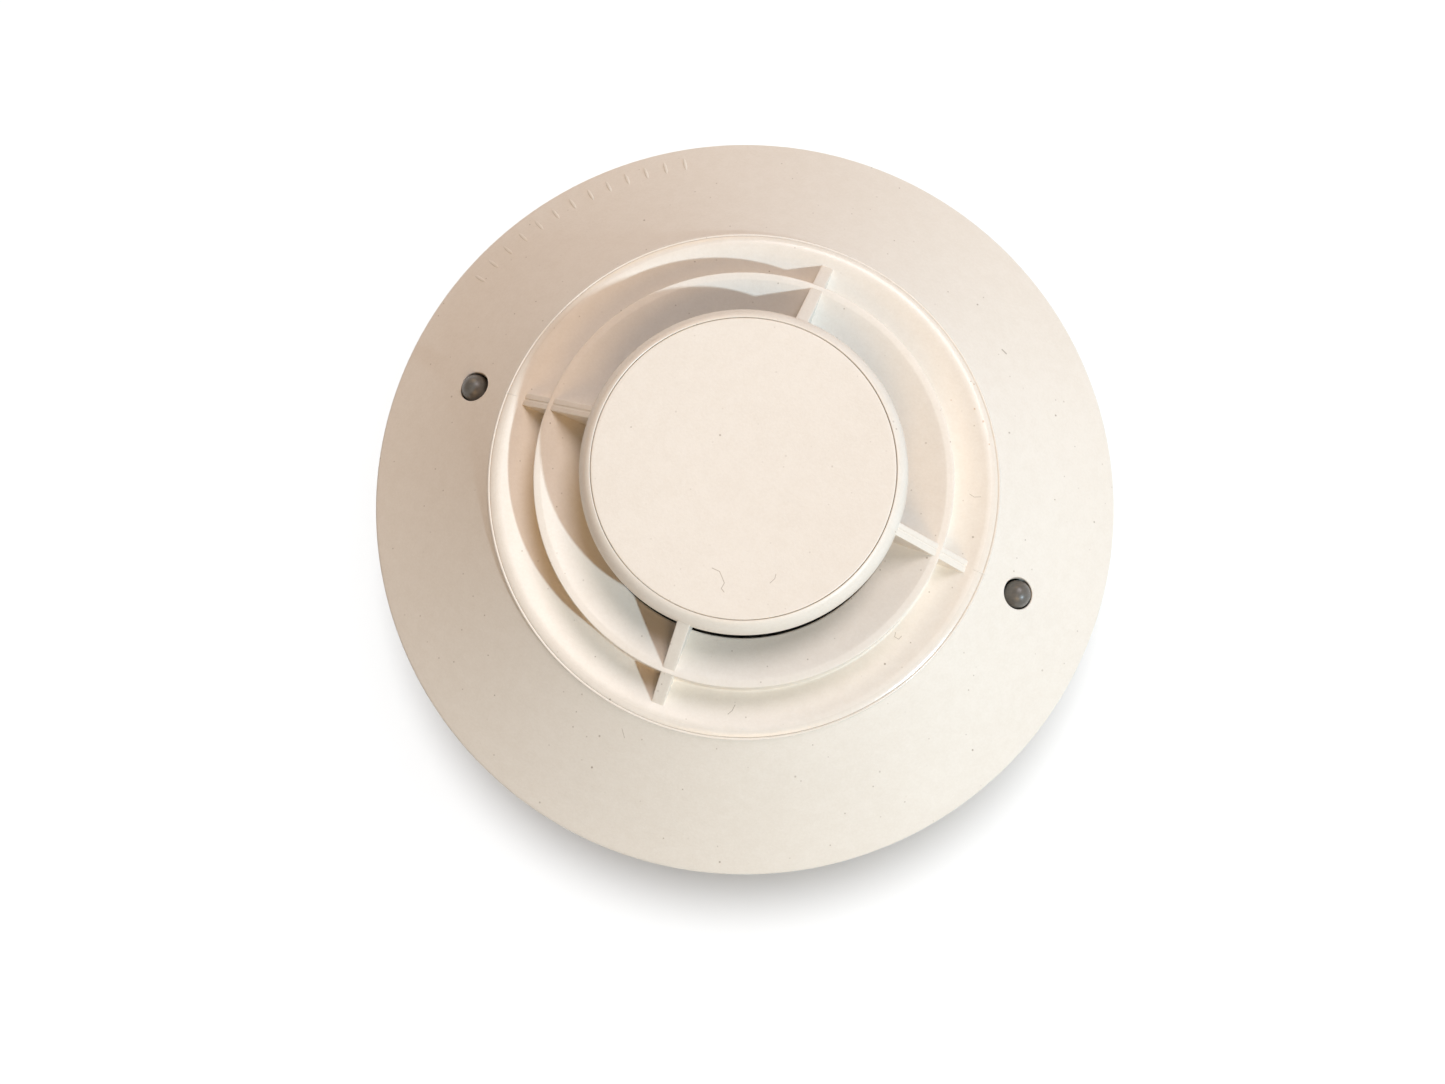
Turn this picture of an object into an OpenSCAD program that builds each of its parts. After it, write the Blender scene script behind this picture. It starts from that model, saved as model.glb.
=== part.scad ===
// Plug-in heat detector on its twist-lock base, in millimetres.
// Origin: centre of the base's flat back. +Z points away from the ceiling, into the room.
// The head (front cover, cap, rear housing, board, sensors) turns on the base about Z.

/* [Head outside] */
// Outside diameter of the head's flange
flange_d = 104; // [102:0.5:108]
// Height of the flange's edge above the ceiling
flange_z = 24; // [23:0.5:30]
// Height of the cap's face above the flange's edge
cap_top = 29.1; // [29:0.05:29.4]
// Outside radius of the cap's rim
cap_r = 21.2; // [20.9:0.05:21.4]
// Radius of the separate disc in the middle of the cap
disc_r = 19.5; // [19:0.05:19.6]
// Wall of the moulded front cover, measured along Z under the flange
flange_wall = 2.6; // [2.2:0.1:2.6]

/* [Air inlet] */
// Outside radius of the ring rib between collar and cap
ring_r = 27.6; // [27.2:0.1:28]
// Width of the ring rib's flat top
ring_w = 1; // [0.8:0.1:1.2]
// Height of the ring rib's top above the flange's edge
ring_top = 21.5; // [21:0.1:21.6]
// Inner edge of the sloping floor, where the air goes in under the cap
inlet_r = 21; // [20.5:0.1:21]
// Fall of the inner floor from the ring rib to the inlet
inlet_fall = 1.6; // [1.2:0.1:1.8]
// Width of the four radial ribs
rib_w = 1.7; // [1.4:0.1:2]
// Underside of the cap above the flange's edge
cap_under = 25.9; // [25.8:0.05:26]

/* [Indicators] */
// Distance of each indicator lamp from the axis
lamp_at = 39.55; // [39:0.05:40]
// Radius of the lamp's dome
lamp_r = 1.9; // [1.7:0.05:1.95]
// Radius of the hole in the flange
lamp_hole_r = 2.1; // [2.05:0.05:2.2]

/* [Base] */
// Outside radius of the base's wall
base_r = 50; // [49.6:0.1:50]
// Thickness of the base's back plate
base_plate = 2.4; // [2:0.1:2.6]
// Radius of the wiring opening in the back plate
wire_r = 20; // [18:0.5:22]
// Distance of each mounting slot's centre from the axis
slot_at = 37.5; // [37:0.1:38]
// End-to-end length of a mounting slot
slot_len = 19; // [16:0.5:19]
// Width of a mounting slot
slot_w = 4.5; // [4:0.1:5]

/* [Electronics] */
// Radius of the round circuit board
board_r = 41.5; // [41:0.1:42]
// Distance of each address dial from the YZ plane
dial_x = 9; // [8:0.5:10]
// Radius of an address dial
dial_r = 3.4; // [3:0.1:3.5]

/* [Hidden] */
$fn = 96;

ivory = [0.93, 0.89, 0.82];
charcoal = [0.16, 0.16, 0.17];
brass = [0.80, 0.64, 0.32];
steel = [0.72, 0.72, 0.74];
small = 0.1;                       // clearance between snug pieces
four = [45, 135, 225, 315];        // directions of the terminals, contacts and bayonet lugs

// front cover, heights above the flange's edge
flange_r = flange_d / 2;
edge_h = 1.2;                      // straight side of the flange
edge_round = 0.8;
slope_edge = 0.751;                // rise per millimetre inwards at the flange's edge
flare = 0.0053;                    // and how fast it steepens towards the collar
slope_angle = atan(slope_edge);
edge_top_r = flange_r - edge_round * (1 - sin(slope_angle));
edge_top_z = edge_h + edge_round * cos(slope_angle);
crest_round = 0.4;                 // rounded outer lip of the collar
crest_r = 34.2;
crest_z = 16.65;
crown_round = 2.2;                 // gentler crown behind the lip
crown_turn = 55;                   // where lip and crown meet, from horizontal
floor_angle = 8;                   // fall of the outer floor towards the ring rib
crown_at = crest_r - crest_round - (crown_round - crest_round) * cos(crown_turn);
crown_z = crest_z - (crown_round - crest_round) * sin(crown_turn);
crown_in = crown_at - crown_round * sin(floor_angle);
crown_in_z = crown_z + crown_round * cos(floor_angle);
ring_foot = crown_in_z - (crown_in - ring_r) * tan(floor_angle);
ring_in = ring_r - ring_w;
inlet_z = ring_top - inlet_fall;
floor_wall = 1.6;                  // wall under the inner floor
ring_wall = 1.7;                   // the ring rib's own wall below its top
rim_wide = 1.8;                    // half axes of the cap rim's rounded section
rim_high = 3.2;
seat_w = 1.3;                      // ledge in the rim that the disc sits on
seat_t = 1.2;
disc_chamfer = 0.15;
lamp_top = 12.35;                   // top of a lamp's dome
rib_out = [31.5, 17.15];           // top edge of a radial rib, [radius, height]: at the collar,
rib_mid = [26.99, 21.51];          // at the ring rib,
rib_in = [20.4, 27.6];             // and where it runs into the cap's rim
rib_bend = [21.19, 26.88];
rib_root = 17.6;                   // the ribs hold the cap from here
boss_r = 3.2;                      // posts under the flange for the housing screws
boss_in = 30.5;
boss_gap = 0.3;                    // between a post and the board
boss_hole_r = 1.5;
boss_hole_z = 4;
boss_hole_deep = 8;

// rear housing and board, heights above the ceiling
housing_back = 16.5;
housing_plate = 2;
housing_r = 44.6;
housing_wall = 1.6;
post_r = 4.5;                      // posts that carry the board, round the screws
screw_r = 1.45;
screw_len = 18.5;
screw_hole_r = 1.65;
screw_head_r = 2.9;
screw_head_t = 2.2;
sink_r = 3.1;
sink_deep = 2.5;
cross_len = 4.2;                   // cross recess in the screw heads
cross_w = 0.8;
cross_deep = 0.9;
board_z = flange_z + 3.4;
board_t = 1.6;
board_top = board_z + board_t;
screw_at = 35;
screw_turns = [20, 110, 200, 290];
dial_y = -15;
dial_face = housing_back + 0.3;
dial_high = 3.6;                   // how far the dial stands in its switch
collar_w = 0.8;                    // rim that keeps the dial in
collar_t = 1.8;
dial_slot = [4.8, 0.9, 1.2];
switch_side = 9.6;
switch_z = board_z - 5.6;
switch_lip = 1.5;                  // floor of the switch under the dial's rim
plate_z = board_top + 6.4;         // dark plate that floors the sensing chamber
plate_t = 1.4;
plate_r = 27.4;
plate_leg_at = 24;
plate_leg_r = 2;
cone_h = 7;                        // cones that hold the thermistors' leads
thermistor_x = 10;
chip_x = -7;
chip_y = 13;
line_chip_x = 8;
line_chip_y = 17;
bead_r = 1.3;
bead_z = flange_z + 23.7;
lead_r = 0.25;
lead_gap = 0.5;                    // of each lead from the bead's middle

// bayonet
lug_z = 17;
lug_t = 2;
lug_half = 7;                      // half the lug's angle
lug_r = 47.2;
hook_in = 45.2;
hook_t = 2;
base_wall = 2;
base_rim = flange_z - 0.8;

// terminals
foot_z = 6;
strip_t = 0.8;
strip_w = 8;
riser_at = 34;
terminal_at = 38.6;
tongue_z = 14.2;
tongue_in = 26;                    // inner end of the contact tongues and blades
dimple_at = 29.5;
dimple_r = 1.2;
strip_hole_r = 2;
clamp = [6.8, 7.2, 0.8];
clamp_hole_r = 1.9;
terminal_r = 1.7;
terminal_hole_r = 1.75;
terminal_head_r = 3.2;
terminal_head_t = 2.2;
blade_len = 8;
blade_w = 7;
blade_t = 0.6;
pin_at = 27.1;                     // pin that joins a blade to the board
pin_w = 3;
pad = [14.5, 11];                  // raised pad under each terminal
pad_at = 28;
sleeve_t = 1.6;                    // collar round the wiring opening
sleeve_h = 2;

function flange_top(r) = edge_top_z + slope_edge * (edge_top_r - r) + flare * pow(edge_top_r - r, 2);
function arc(x, z, r, from, to, steps) =
    [for (i = [0:steps]) let (a = from + (to - from) * i / steps) [x + r * cos(a), z + r * sin(a)]];
function between(a, b, steps) = [for (i = [0:steps]) a + (b - a) * i / steps];

// the cover's outer line, from the flange's lower edge to the inlet
outer_line = concat(
    [[flange_r, 0]],
    arc(flange_r - edge_round, edge_h, edge_round, 0, 90 - slope_angle, 5),
    [for (r = between(edge_top_r - 2, crest_r, 7)) [r, flange_top(r)]],
    arc(crest_r - crest_round, crest_z, crest_round, 0, crown_turn, 5),
    arc(crown_at, crown_z, crown_round, crown_turn + 6, 90 + floor_angle, 6),
    [[ring_r, ring_foot], [ring_r, ring_top], [ring_in, ring_top], [inlet_r, inlet_z]]
);

// ---- front cover ----

module cover_shell() {
    under_r = crest_r - 1.1;
    edge_in = edge_top_r - 1.2;
    ring_under = ring_r - ring_wall;
    rotate_extrude() polygon(concat(outer_line, [
        [inlet_r, inlet_z - floor_wall],
        [ring_under, inlet_z - floor_wall + (ring_under - inlet_r) * inlet_fall / (ring_in - inlet_r)],
        [ring_under, ring_foot - floor_wall - 1],
        [crown_in, crown_in_z - floor_wall],
        [crown_at, crown_in_z - floor_wall],
        [under_r, flange_top(under_r) - flange_wall],
        [edge_in, flange_top(edge_in) - flange_wall],
        [flange_r - floor_wall, 0]
    ]));
}

module cap_rim() {
    rotate_extrude() polygon(concat(
        [for (t = [90:-10:0]) [cap_r - rim_wide + rim_wide * cos(t), cap_top - rim_high + rim_high * sin(t)]],
        [[cap_r - small, cap_under], [disc_r - seat_w, cap_under], [disc_r - seat_w, cap_under + seat_t],
         [disc_r + small, cap_under + seat_t], [disc_r + small, cap_top]]
    ));
}

// one radial rib: its sloping top runs from the collar to the cap's rim
module radial_rib() {
    into = 0.3;                    // how far it reaches into the walls beside it
    rotate([90, 0, 0]) linear_extrude(height = rib_w, center = true) polygon([
        rib_out, rib_mid, rib_bend, rib_in, [rib_in[0], cap_under + into], [rib_root, cap_under + into],
        [rib_root, cap_under - 1.2], [inlet_r + into, inlet_z - 1], [ring_in - into, ring_top - 1],
        [ring_r - into, ring_top - 1], [ring_r - into, ring_foot - into], [rib_out[0] - 0.7, rib_out[1] - 1]
    ]);
}

// four posts under the cover take the housing screws
module cover_bosses() {
    skin = 1;
    intersection() {
        for (a = screw_turns) rotate(a) translate([screw_at, 0, board_top - flange_z + boss_gap])
            cylinder(r = boss_r, h = crest_z);
        rotate_extrude() polygon(concat(
            [for (r = between(edge_top_r, boss_in, 6)) [r, flange_top(r) - skin]],
            [[boss_in, 0], [edge_top_r, 0]]
        ));
    }
}

module front_cover() {
    color(ivory) translate([0, 0, flange_z]) difference() {
        union() {
            cover_shell();
            cap_rim();
            for (a = [0:90:270]) rotate(a) radial_rib();
            cover_bosses();
        }
        for (side = [1, -1]) translate([side * lamp_at, 0, edge_top_z])
            cylinder(r = lamp_hole_r, h = crest_z);
        for (a = screw_turns) rotate(a) translate([screw_at, 0, boss_hole_z])
            cylinder(r = boss_hole_r, h = boss_hole_deep);
    }
}

module cap_disc() {
    disc_t = cap_top - cap_under - seat_t - 0.05;
    color(ivory) translate([0, 0, flange_z + cap_top - disc_t]) rotate_extrude() polygon([
        [0, 0], [disc_r, 0], [disc_r, disc_t - disc_chamfer], [disc_r - disc_chamfer, disc_t], [0, disc_t]
    ]);
}

// ---- head inside ----

module ring_part(inner, outer, height, from, to) {
    rotate(from) rotate_extrude(angle = to - from)
        translate([inner, 0]) square([outer - inner, height]);
}

module rear_housing() {
    wall_top = flange_z + flange_top(housing_r) - flange_wall - 0.4;
    pin_slot = [1, pin_w + 0.4, 3 * housing_plate];
    color(charcoal) difference() {
        union() {
            translate([0, 0, housing_back]) cylinder(r = housing_r, h = housing_plate);
            translate([0, 0, housing_back])
                ring_part(housing_r - housing_wall, housing_r, wall_top - housing_back, 0, 360);
            for (a = screw_turns) rotate(a) translate([screw_at, 0, housing_back])
                cylinder(r = post_r, h = board_z - housing_back);
            for (a = four) translate([0, 0, lug_z])
                ring_part(housing_r - housing_wall / 2, lug_r, lug_t, a - lug_half, a + lug_half);
        }
        for (a = screw_turns) rotate(a) translate([screw_at, 0, housing_back - 1]) {
            cylinder(r = screw_hole_r, h = screw_len);
            cylinder(r = sink_r, h = sink_deep + 1);
        }
        for (side = [1, -1]) translate([side * dial_x, dial_y, housing_back - 1])
            cylinder(r = dial_r + 0.6, h = housing_plate + 2);
        for (a = four) rotate(a) translate([pin_at + blade_t / 2, 0, housing_back + housing_plate / 2])
            cube(pin_slot, center = true);
    }
}

// blade that meets the base's contact when the head is locked
module contact_blade(turn) {
    color(brass) rotate(turn) {
        translate([tongue_in, -blade_w / 2, housing_back - blade_t]) cube([blade_len, blade_w, blade_t]);
        translate([pin_at, -pin_w / 2, housing_back - small])
            cube([blade_t, pin_w, board_z - housing_back + small]);
    }
}

module housing_screws() {
    color(steel) for (a = screw_turns) rotate(a) translate([screw_at, 0, housing_back + 0.3]) difference() {
        union() {
            cylinder(r = screw_head_r, h = screw_head_t);
            cylinder(r = screw_r, h = screw_len);
        }
        translate([-cross_len / 2, -cross_w / 2, -1]) cube([cross_len, cross_w, cross_deep + 1]);
        translate([-cross_w / 2, -cross_len / 2, -1]) cube([cross_w, cross_len, cross_deep + 1]);
    }
}

module circuit_board() {
    color([0.13, 0.40, 0.22]) translate([0, 0, board_z]) difference() {
        cylinder(r = board_r, h = board_t);
        for (a = screw_turns) rotate(a) translate([screw_at, 0, -1])
            cylinder(r = screw_hole_r + 0.15, h = board_t + 2);
    }
}

// dark domed lamp standing on the board, its dome level with the flange
module indicator_lamp(side) {
    dome_z = flange_z + lamp_top - lamp_r;
    color([0.30, 0.29, 0.27]) translate([side * lamp_at, 0, 0]) {
        translate([0, 0, board_top]) cylinder(r = lamp_r + 0.5, h = 1);
        translate([0, 0, board_top]) cylinder(r = lamp_r, h = dome_z - board_top);
        translate([0, 0, dome_z]) intersection() {
            sphere(r = lamp_r);
            translate([0, 0, -0.2]) cylinder(r = 3, h = 5);
        }
    }
}

module sensor_plate() {
    color(charcoal) difference() {
        union() {
            translate([0, 0, plate_z]) cylinder(r = plate_r, h = plate_t);
            for (a = four) rotate(a) translate([plate_leg_at, 0, board_top])
                cylinder(r = plate_leg_r, h = plate_z - board_top);
            for (side = [1, -1]) translate([side * thermistor_x, 0, plate_z])
                cylinder(r1 = 2.2, r2 = 1.6, h = cone_h);
        }
        for (side = [1, -1]) translate([side * thermistor_x, 0, plate_z - 1])
            cylinder(r = 2 * lead_gap, h = cone_h + 2);
    }
}

module lead_pair(side, height) {
    for (end = [1, -1]) translate([side * thermistor_x, end * lead_gap, board_top])
        cylinder(r = lead_r, h = height, $fn = 24);
}

// bead dipped over the ends of its two leads
module thermistor(side) {
    color([0.10, 0.10, 0.11]) difference() {
        translate([side * thermistor_x, 0, bead_z]) sphere(r = bead_r);
        lead_pair(side, bead_z - board_top);
    }
}

module thermistor_leads() {
    color(steel) for (side = [1, -1]) lead_pair(side, bead_z - board_top);
}

// rotary address switch: a housing on the board's back, with a dial turned from behind
module address_switch(side) {
    half = switch_side / 2;
    color([0.20, 0.36, 0.60]) translate([side * dial_x, dial_y, switch_z]) difference() {
        translate([-half, -half, 0]) cube([switch_side, switch_side, board_z - switch_z]);
        translate([0, 0, -1]) cylinder(r = dial_r + 0.05, h = 3);
        translate([0, 0, switch_lip]) cylinder(r = dial_r + collar_w + 0.05, h = board_z - switch_z);
    }
}

module address_dial(side) {
    color([0.90, 0.90, 0.86]) translate([side * dial_x, dial_y, 0]) difference() {
        union() {
            translate([0, 0, dial_face]) cylinder(r = dial_r, h = switch_z + dial_high - dial_face);
            translate([0, 0, switch_z + dial_high - collar_t]) cylinder(r = dial_r + collar_w, h = collar_t);
        }
        translate([-dial_slot[0] / 2, -dial_slot[1] / 2, dial_face - 1])
            cube([dial_slot[0], dial_slot[1], dial_slot[2] + 1]);
        translate([0, 2.2, dial_face - 1]) cylinder(r = 0.6, h = 1.6, $fn = 3);
    }
}

module on_board(x, y, size) {
    translate([x - size[0] / 2, y - size[1] / 2, board_top]) cube(size);
}

module controller_chip() {
    color(charcoal) on_board(chip_x, chip_y, [10, 10, 1.4]);
}

module line_chip() {
    color(charcoal) on_board(line_chip_x, line_chip_y, [8.7, 3.9, 1.5]);
}

// gull-wing pins in rows beside the two chips
module chip_pins() {
    color(steel) {
        for (i = [-4:4]) for (end = [1, -1]) {
            on_board(chip_x + i, chip_y + end * 5.5, [0.3, 1, 0.2]);
            on_board(chip_x + end * 5.5, chip_y + i, [1, 0.3, 0.2]);
        }
        for (i = [-3:3]) for (end = [1, -1])
            on_board(line_chip_x + i * 1.2, line_chip_y + end * 2.5, [0.4, 1.1, 0.2]);
    }
}

module electrolytic_capacitor() {
    color([0.75, 0.76, 0.78]) translate([0, -31, board_top]) {
        translate([-3.4, -3.4, 0]) cube([6.8, 6.8, 0.8]);
        cylinder(r = 3.15, h = 5.8);
    }
}

module bridge_rectifier() {
    color(charcoal) on_board(-27, -9, [4.6, 4, 2.4]);
}

module surge_diode() {
    color(charcoal) on_board(-28, 6, [6.8, 5.6, 2.3]);
}

module crystal() {
    color(steel) translate([-4, 27, board_top]) linear_extrude(height = 3.5) {
        square([6.6, 4.4], center = true);
        for (side = [1, -1]) translate([side * 3.3, 0]) circle(r = 2.2);
    }
}

module reed_switch() {
    color([0.75, 0.85, 0.82, 0.5]) translate([22, 19, board_top + 1.3]) rotate([0, 90, -45])
        cylinder(r = 1.1, h = 13, center = true);
}

module reed_leads() {
    color(steel) translate([22, 19, board_top + 1.3]) rotate([0, 0, -45]) for (end = [1, -1]) {
        translate([end * 8, 0, 0]) rotate([0, 90, 0]) cylinder(r = 0.3, h = 3, center = true, $fn = 24);
        translate([end * 9.2, 0, -1.3]) cylinder(r = 0.3, h = 1.3, $fn = 24);
    }
}

module chip_resistors() {
    color([0.12, 0.12, 0.12]) for (row = [0:2]) for (i = [0:4])
        on_board(20 + row * 3.2, -18 + i * 3 + row, [1.6, 0.8, 0.5]);
}

module chip_capacitors() {
    color([0.66, 0.52, 0.36]) for (i = [0:5]) on_board(-22 + i * 3, -27, [2, 1.25, 1]);
}

// ---- base ----

module mounting_slots() {
    for (a = [0:90:270]) rotate(a) translate([slot_at, 0, -1]) linear_extrude(height = base_plate + 2) {
        square([slot_len - slot_w, slot_w], center = true);
        for (end = [1, -1]) translate([end * (slot_len - slot_w) / 2, 0]) circle(d = slot_w);
    }
}

// hook that holds a lug, and the stops that end the turn each way
module bayonet_hook() {
    hook_z = lug_z + lug_t + 0.4;
    wall_in = base_r - base_wall;
    bite = 0.5;
    stop_z = lug_z - 0.6;
    translate([0, 0, hook_z]) ring_part(hook_in, wall_in + bite, hook_t, -12, 9);
    translate([0, 0, stop_z]) ring_part(hook_in + 0.3, wall_in + bite, hook_z + 1 - stop_z, -11.5, -8.5);
    translate([0, 0, stop_z]) ring_part(hook_in + 0.3, wall_in + bite, lug_t + 1.2, 26.5, 29);
}

module base_body() {
    rim_round = 0.5;
    wall_in = base_r - base_wall;
    color(ivory) difference() {
        union() {
            rotate_extrude() polygon([
                [0, 0], [base_r - rim_round, 0], [base_r, rim_round], [base_r, base_rim - rim_round],
                [base_r - rim_round, base_rim], [wall_in, base_rim], [wall_in, base_plate], [0, base_plate]
            ]);
            for (a = four) rotate(a) {
                translate([pad_at, -pad[1] / 2, base_plate - small])
                    cube([pad[0], pad[1], foot_z - base_plate + small]);
                bayonet_hook();
            }
            translate([0, 0, base_plate - small])
                ring_part(wire_r - 1, wire_r + sleeve_t, sleeve_h + small, 0, 360);
        }
        translate([0, 0, -1]) cylinder(r = wire_r, h = base_plate + sleeve_h + 2);
        mounting_slots();
        for (a = four) rotate(a) translate([terminal_at, 0, 1.6])
            cylinder(r = terminal_hole_r, h = foot_z);
    }
}

// springy strip: foot under the terminal screw, riser, and tongue with a raised dimple
module base_contact(turn) {
    side = -strip_w / 2;
    color(brass) rotate(turn) difference() {
        union() {
            translate([riser_at, side, foot_z]) cube([8.5, strip_w, strip_t]);
            translate([riser_at, side, foot_z]) cube([strip_t, strip_w, tongue_z + strip_t - foot_z]);
            translate([tongue_in, side, tongue_z]) cube([riser_at + strip_t - tongue_in, strip_w, strip_t]);
            translate([dimple_at, 0, tongue_z + 0.2]) sphere(r = dimple_r);
        }
        translate([terminal_at, 0, foot_z - 1]) cylinder(r = strip_hole_r, h = strip_t + 2);
    }
}

module clamp_plates() {
    color(steel) for (a = four) rotate(a) translate([terminal_at, 0, foot_z + strip_t]) difference() {
        translate([-clamp[0] / 2, -clamp[1] / 2, 0]) cube(clamp);
        translate([0, 0, -1]) cylinder(r = clamp_hole_r, h = clamp[2] + 2);
    }
}

module terminal_screws() {
    head_z = foot_z + strip_t + clamp[2];
    shank_z = 2;
    drive_w = 0.8;
    drive_deep = 1;
    color(steel) for (a = four) rotate(a) translate([terminal_at, 0, 0]) difference() {
        union() {
            translate([0, 0, head_z]) cylinder(r = terminal_head_r, h = terminal_head_t);
            translate([0, 0, shank_z]) cylinder(r = terminal_r, h = head_z - shank_z + small);
        }
        rotate(30) translate([-terminal_head_r - 1, -drive_w / 2, head_z + terminal_head_t - drive_deep])
            cube([2 * terminal_head_r + 2, drive_w, drive_deep + 1]);
    }
}

base_body();
base_contact(four[0]);  // base_contact_1
base_contact(four[1]);  // base_contact_2
base_contact(four[2]);  // base_contact_3
base_contact(four[3]);  // base_contact_4
clamp_plates();
terminal_screws();
front_cover();
cap_disc();
rear_housing();
contact_blade(four[0]);  // contact_blade_1
contact_blade(four[1]);  // contact_blade_2
contact_blade(four[2]);  // contact_blade_3
contact_blade(four[3]);  // contact_blade_4
housing_screws();
circuit_board();
indicator_lamp(1);  // indicator_lamp_right
indicator_lamp(-1);  // indicator_lamp_left
sensor_plate();
thermistor(1);  // thermistor_right
thermistor(-1);  // thermistor_left
thermistor_leads();
address_switch(-1);  // address_switch_tens
address_switch(1);  // address_switch_units
address_dial(-1);  // tens_dial
address_dial(1);  // units_dial
controller_chip();
line_chip();
chip_pins();
electrolytic_capacitor();
bridge_rectifier();
surge_diode();
crystal();
reed_switch();
reed_leads();
chip_resistors();
chip_capacitors();
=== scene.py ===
"""Looks of the plug-in heat detector, in the CAD frame.

The front cover, the cap disc and the two lamps are built here. Every other piece is the CAD's own.
Shapes are in millimetres until piece() scales them, and materials are in metres. The heights of the cover
and the disc count from the flange's edge until lifted() raises them.
"""

import math

import bmesh
import bpy
import numpy as np
from mathutils import Matrix, Vector


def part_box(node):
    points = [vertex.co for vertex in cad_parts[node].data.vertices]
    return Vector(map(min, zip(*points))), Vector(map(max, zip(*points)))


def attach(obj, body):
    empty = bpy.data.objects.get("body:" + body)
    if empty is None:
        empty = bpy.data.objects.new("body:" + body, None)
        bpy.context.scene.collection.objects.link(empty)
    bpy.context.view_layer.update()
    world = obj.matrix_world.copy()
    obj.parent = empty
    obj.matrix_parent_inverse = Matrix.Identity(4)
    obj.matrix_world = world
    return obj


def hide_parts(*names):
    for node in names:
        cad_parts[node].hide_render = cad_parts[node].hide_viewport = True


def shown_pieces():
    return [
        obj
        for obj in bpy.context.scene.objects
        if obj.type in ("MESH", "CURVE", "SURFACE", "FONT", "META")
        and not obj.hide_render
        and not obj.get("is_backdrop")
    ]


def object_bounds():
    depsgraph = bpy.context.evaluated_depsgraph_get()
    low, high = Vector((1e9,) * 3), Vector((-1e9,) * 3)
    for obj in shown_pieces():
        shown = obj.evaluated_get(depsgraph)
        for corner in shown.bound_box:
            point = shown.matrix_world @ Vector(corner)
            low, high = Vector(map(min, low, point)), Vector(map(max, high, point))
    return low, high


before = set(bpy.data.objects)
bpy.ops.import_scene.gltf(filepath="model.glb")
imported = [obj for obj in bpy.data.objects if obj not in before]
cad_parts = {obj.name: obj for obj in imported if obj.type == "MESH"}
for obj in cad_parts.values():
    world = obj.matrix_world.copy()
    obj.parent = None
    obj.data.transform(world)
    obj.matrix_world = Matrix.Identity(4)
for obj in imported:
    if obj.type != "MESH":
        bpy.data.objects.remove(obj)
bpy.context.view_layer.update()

MM = 0.001
TURNS = 720  # segments round each turned piece
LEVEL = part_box("front_cover")[0].z / MM  # height of the flange's edge above the floor, mm
CAP_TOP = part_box("front_cover")[1].z / MM - LEVEL
FLANGE_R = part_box("front_cover")[1].x / MM


# ---------------------------------------------------------------- shape helpers (millimetres)


def arc(x, z, rx, rz, start, end, steps):
    """Points on an ellipse's arc, in degrees."""
    turns = np.radians(np.linspace(start, end, steps + 1))
    return [(x + rx * math.cos(t), z + rz * math.sin(t)) for t in turns]


def turned(profile, turns=TURNS, skip=None):
    """A closed (radius, height) outline turned about Z. skip(row, column) leaves out faces."""
    angles = np.linspace(0, 2 * math.pi, turns, endpoint=False)
    outline = np.array(profile, float)
    rows = len(outline)
    points = np.empty((rows, turns, 3))
    points[..., 0] = outline[:, :1] * np.cos(angles)
    points[..., 1] = outline[:, :1] * np.sin(angles)
    points[..., 2] = outline[:, 1:]
    faces = []
    for i in range(rows):
        k = (i + 1) % rows
        for j in range(turns):
            if skip and skip(i, j):
                continue
            m = (j + 1) % turns
            faces.append((i * turns + j, i * turns + m, k * turns + m, k * turns + j))
    return points.reshape(-1, 3), faces


def swept(sections):
    """A solid through closed sections of equal point counts, with flat ends."""
    count = len(sections[0])
    points = np.vstack(sections)
    faces = []
    for i in range(len(sections) - 1):
        for j in range(count):
            m = (j + 1) % count
            faces.append((i * count + j, i * count + m, (i + 1) * count + m, (i + 1) * count + j))
    faces.append(tuple(range(count)))
    faces.append(tuple(range((len(sections) - 1) * count, len(sections) * count)))
    return points, faces


def about_z(points, degrees):
    """The points turned about Z."""
    a = math.radians(degrees)
    c, s = math.cos(a), math.sin(a)
    return points @ np.array([[c, s, 0], [-s, c, 0], [0, 0, 1]])


def piece(name, parts, material, body, replaces=(), crease=32):
    """One mesh object made of (points, faces) parts in millimetres, riding on a body."""
    points, faces, base = [], [], 0
    for p, f in parts:
        points.append(np.asarray(p, float))
        faces += [tuple(i + base for i in face) for face in f]
        base += len(p)
    mesh = bpy.data.meshes.new(name)
    mesh.from_pydata((np.vstack(points) * MM).tolist(), [], faces)
    work = bmesh.new()
    work.from_mesh(mesh)
    bmesh.ops.recalc_face_normals(work, faces=work.faces)
    work.to_mesh(mesh)
    work.free()
    mesh.shade_smooth()
    mesh.set_sharp_from_angle(angle=math.radians(crease))
    made = bpy.data.objects.new(name, mesh)
    bpy.context.scene.collection.objects.link(made)
    mesh.materials.append(material)
    weighted = made.modifiers.new("flat_faces_stay_flat", "WEIGHTED_NORMAL")
    weighted.keep_sharp = True
    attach(made, body)
    if replaces:
        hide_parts(*replaces)
    return made


# ---------------------------------------------------------------- materials


MIX_SHARE, MIX_A, MIX_B, MIX_COLOUR = 0, 6, 7, 2  # a colour Mix node's sockets share their names
LENGTH_OUT = 1  # the number that LENGTH and DOT_PRODUCT give
FLAT = (1, 1, 0)  # drops the height of a place


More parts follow.
